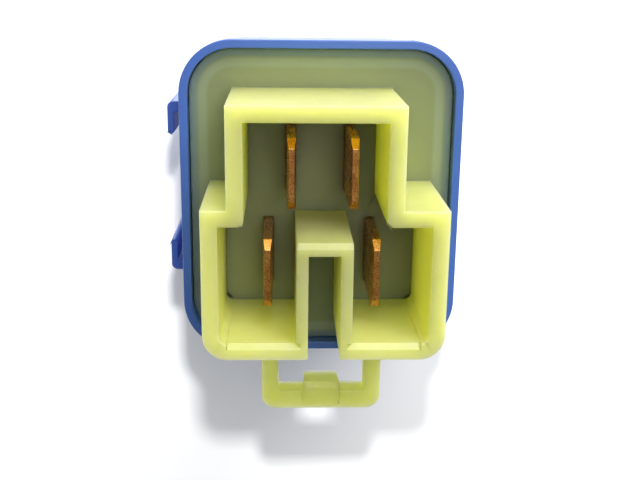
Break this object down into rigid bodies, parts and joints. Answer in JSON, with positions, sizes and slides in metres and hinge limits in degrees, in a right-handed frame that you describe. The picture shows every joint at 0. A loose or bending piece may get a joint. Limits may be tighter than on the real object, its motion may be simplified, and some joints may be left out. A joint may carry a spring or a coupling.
{
  "type": "automotive relay",
  "caption": "Plug-in relay: blue moulded can with hooked side rails, green nylon connector shroud with keyway and latch loop, copper blades, hinged armature inside.",
  "frame": {"origin": "centre of the flat closed end of the can, which the relay stands on", "axes": "+Z towards the connector's mouth, X across the blades, +Y towards the narrow block of the shroud and away from the latch loop"},
  "size_m": [0.028, 0.0352, 0.036],
  "materials": {
    "blue_nylon": "moulded nylon, satin",
    "green_nylon": "translucent glass-filled nylon, satin, pale yellow-green",
    "blade_copper": "bare copper alloy, stamped, lightly toned",
    "bobbin_nylon": "moulded nylon, natural",
    "magnet_wire": "enamelled copper wire",
    "magnet_iron": "zinc-plated soft iron",
    "leaf_copper": "rolled copper alloy",
    "rivet_steel": "plated steel",
    "contact_silver": "silver alloy",
    "spring_steel": "spring wire",
    "braid_copper": "bare copper braid"
  },
  "bodies": {
    "housing": {"cover": "blue_nylon", "base": "green_nylon", "terminal_common": "blade_copper", "terminal_load": "blade_copper", "terminal_coil_a": "blade_copper", "terminal_coil_b": "blade_copper", "bobbin": "bobbin_nylon", "winding": "magnet_wire", "core": "magnet_iron", "yoke": "magnet_iron", "fixed_contact": "contact_silver", "return_spring": "spring_steel", "braid": "braid_copper", "back_stop": "blade_copper", "coil_lead_a": "magnet_wire", "coil_lead_b": "magnet_wire"},
    "armature_group": {"armature": "magnet_iron", "contact_leaf": "leaf_copper", "leaf_rivets": "rivet_steel", "moving_contact": "contact_silver"}
  },
  "joints": [
    {"name": "armature_swing", "type": "hinge", "parent": "housing", "child": "armature_group", "pos_m": [0, -0.01085, 0.00555], "axis": [1, 0, 0], "range_deg": [0, 3.5], "stiffness_Nm_per_rad": 0.002, "springref_deg": -11.46, "deforming": ["return_spring", "braid"]}
  ]
}
